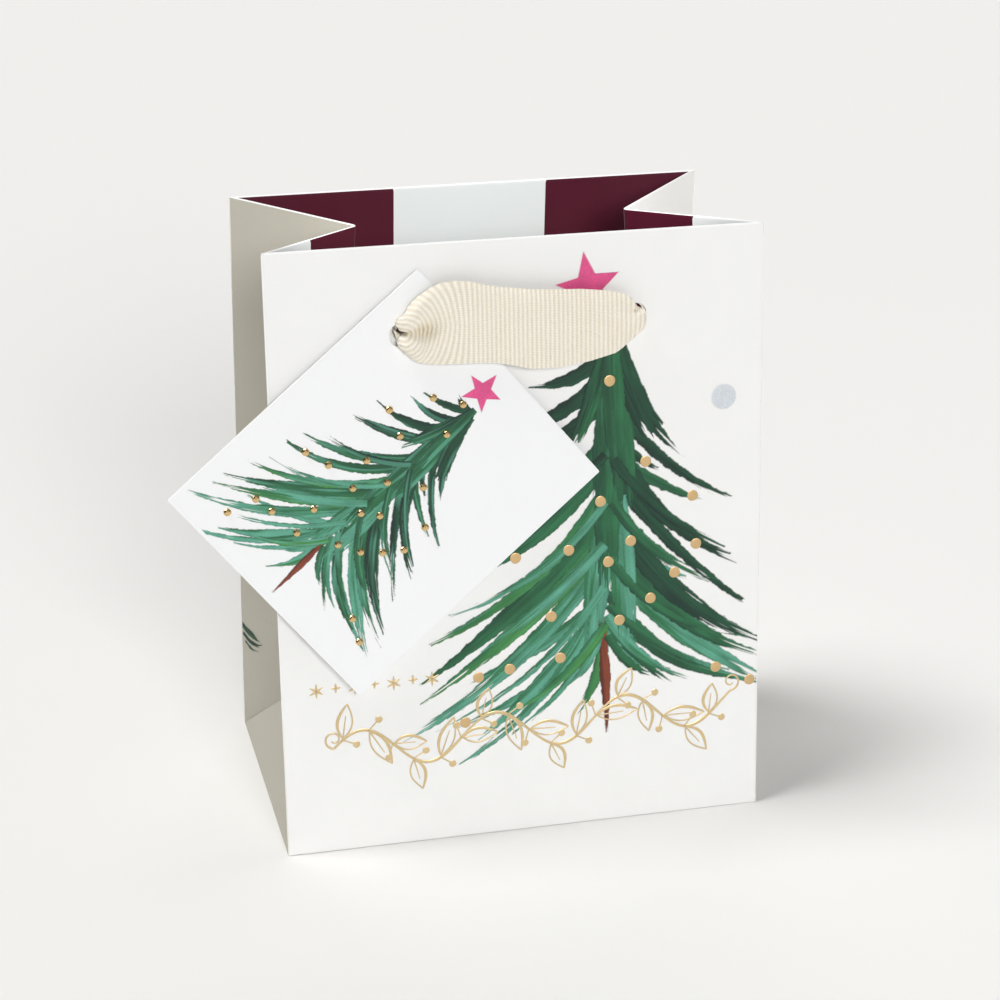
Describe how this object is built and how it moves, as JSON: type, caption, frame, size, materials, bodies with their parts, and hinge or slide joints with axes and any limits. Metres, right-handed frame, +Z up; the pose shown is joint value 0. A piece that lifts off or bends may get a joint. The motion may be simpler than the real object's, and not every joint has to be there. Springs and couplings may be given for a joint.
{
  "type": "gift bag",
  "caption": "Small paper gift bag with side gussets, ribbon handles knotted inside the mouth, a card base and a swinging gift tag.",
  "frame": {"origin": "centre of the underside of the base, where the bag stands", "axes": "+Z up out of the mouth, -Y towards the front panel, +X to the right seen from the front"},
  "size_m": [0.1537, 0.08, 0.1576],
  "materials": {
    "outer_paper": "satin",
    "striped_hem_paper": "satin",
    "card": "matte",
    "ribbon": "matte",
    "tag_card": "satin",
    "gold_dots": "polished"
  },
  "bodies": {
    "base": {"base_front_flap": "outer_paper", "base_back_flap": "outer_paper", "base_left_flap": "outer_paper", "base_right_flap": "outer_paper", "base_board": "card"},
    "front_panel": {"front_panel": "outer_paper", "front_hem": "striped_hem_paper", "front_top_stiffener": "card"},
    "back_panel": {"back_panel": "outer_paper", "back_hem": "striped_hem_paper", "back_top_stiffener": "card", "side_seam_tab": "outer_paper"},
    "left_foot_fold": {"left_foot_fold": "outer_paper"},
    "right_foot_fold": {"right_foot_fold": "outer_paper"},
    "front_handle": {"front_handle_ribbon": "ribbon", "front_handle_knots": "ribbon"},
    "back_handle": {"back_handle_ribbon": "ribbon", "back_handle_knots": "ribbon"},
    "tag": {"gift_tag": "tag_card", "tag_gold_dots": "gold_dots"},
    "left_front_flank": {"left_front_flank": "outer_paper"},
    "left_front_gusset": {"left_front_gusset": "outer_paper", "left_front_gusset_hem": "striped_hem_paper"},
    "left_back_flank": {"left_back_flank": "outer_paper"},
    "left_back_gusset": {"left_back_gusset": "outer_paper", "left_back_gusset_hem": "striped_hem_paper"},
    "right_front_flank": {"right_front_flank": "outer_paper"},
    "right_front_gusset": {"right_front_gusset": "outer_paper", "right_front_gusset_hem": "striped_hem_paper"},
    "right_back_flank": {"right_back_flank": "outer_paper"},
    "right_back_gusset": {"right_back_gusset": "outer_paper", "right_back_gusset_hem": "striped_hem_paper"}
  },
  "joints": [
    {"name": "mouth_front_fold", "type": "hinge", "parent": "base", "child": "front_panel", "pos_m": [0, -0.04, 0], "axis": [-1, 0, 0], "range_deg": [0, 3]},
    {"name": "mouth_back_fold", "type": "hinge", "parent": "base", "child": "back_panel", "pos_m": [0, 0.04, 0], "axis": [1, 0, 0], "range_deg": [-0.1, 3.1]},
    {"name": "left_foot_crease", "type": "hinge", "parent": "base", "child": "left_foot_fold", "pos_m": [-0.0635, 0, 0], "axis": [0, 1, 0], "range_deg": [-0.2, 5.8]},
    {"name": "right_foot_crease", "type": "hinge", "parent": "base", "child": "right_foot_fold", "pos_m": [0.0635, 0, 0], "axis": [0, -1, 0], "range_deg": [-0.2, 5.8]},
    {"name": "right_front_corner_crease", "type": "hinge", "parent": "front_panel", "child": "right_front_flank", "pos_m": [0.0635, -0.04, 0], "axis": [0, 0.0732, 0.9973], "range_deg": [-0.2, 5.4]},
    {"name": "right_front_gusset_crease", "type": "hinge", "parent": "right_front_flank", "child": "right_front_gusset", "pos_m": [0.0635, -0.04, 0], "axis": [0, 0.0732, 0.9973], "range_deg": [-0.3, 11.2]},
    {"name": "left_front_corner_crease", "type": "hinge", "parent": "front_panel", "child": "left_front_flank", "pos_m": [-0.0635, -0.04, 0], "axis": [0, -0.0732, -0.9973], "range_deg": [-0.2, 5.4]},
    {"name": "left_front_gusset_crease", "type": "hinge", "parent": "left_front_flank", "child": "left_front_gusset", "pos_m": [-0.0635, -0.04, 0], "axis": [0, -0.0732, -0.9973], "range_deg": [-0.3, 11.2]},
    {"name": "right_back_corner_crease", "type": "hinge", "parent": "back_panel", "child": "right_back_flank", "pos_m": [0.0635, 0.04, 0], "axis": [0, 0.0732, -0.9973], "range_deg": [-0.2, 5.4]},
    {"name": "right_back_gusset_crease", "type": "hinge", "parent": "right_back_flank", "child": "right_back_gusset", "pos_m": [0.0635, 0.04, 0], "axis": [0, 0.0732, -0.9973], "range_deg": [-0.3, 11.2]},
    {"name": "left_back_corner_crease", "type": "hinge", "parent": "back_panel", "child": "left_back_flank", "pos_m": [-0.0635, 0.04, 0], "axis": [0, -0.0732, 0.9973], "range_deg": [-0.2, 5.4]},
    {"name": "left_back_gusset_crease", "type": "hinge", "parent": "left_back_flank", "child": "left_back_gusset", "pos_m": [-0.0635, 0.04, 0], "axis": [0, -0.0732, 0.9973], "range_deg": [-0.3, 11.2]},
    {"name": "front_handle_pull", "type": "slide", "parent": "front_panel", "child": "front_handle", "axis": [0, -0.9973, 0.0732], "range_m": [0, 0.0065]},
    {"name": "back_handle_pull", "type": "slide", "parent": "back_panel", "child": "back_handle", "axis": [0, 0.9973, 0.0732], "range_m": [0, 0.0065]},
    {"name": "tag_swing", "type": "hinge", "parent": "front_panel", "child": "tag", "pos_m": [-0.0302, -0.03086, 0.1367], "axis": [0, -0.9957, 0.0924], "range_deg": [-50, 32]}
  ],
  "couplings": [
    {"joint": "mouth_back_fold", "follows": "mouth_front_fold", "ratio": 1},
    {"joint": "left_foot_crease", "follows": "mouth_front_fold", "ratio": 1.85},
    {"joint": "right_foot_crease", "follows": "mouth_front_fold", "ratio": 1.85},
    {"joint": "right_front_corner_crease", "follows": "mouth_front_fold", "ratio": 1.7},
    {"joint": "right_front_gusset_crease", "follows": "mouth_front_fold", "ratio": 3.6},
    {"joint": "left_front_corner_crease", "follows": "mouth_front_fold", "ratio": 1.7},
    {"joint": "left_front_gusset_crease", "follows": "mouth_front_fold", "ratio": 3.6},
    {"joint": "right_back_corner_crease", "follows": "mouth_front_fold", "ratio": 1.7},
    {"joint": "right_back_gusset_crease", "follows": "mouth_front_fold", "ratio": 3.6},
    {"joint": "left_back_corner_crease", "follows": "mouth_front_fold", "ratio": 1.7},
    {"joint": "left_back_gusset_crease", "follows": "mouth_front_fold", "ratio": 3.6}
  ]
}
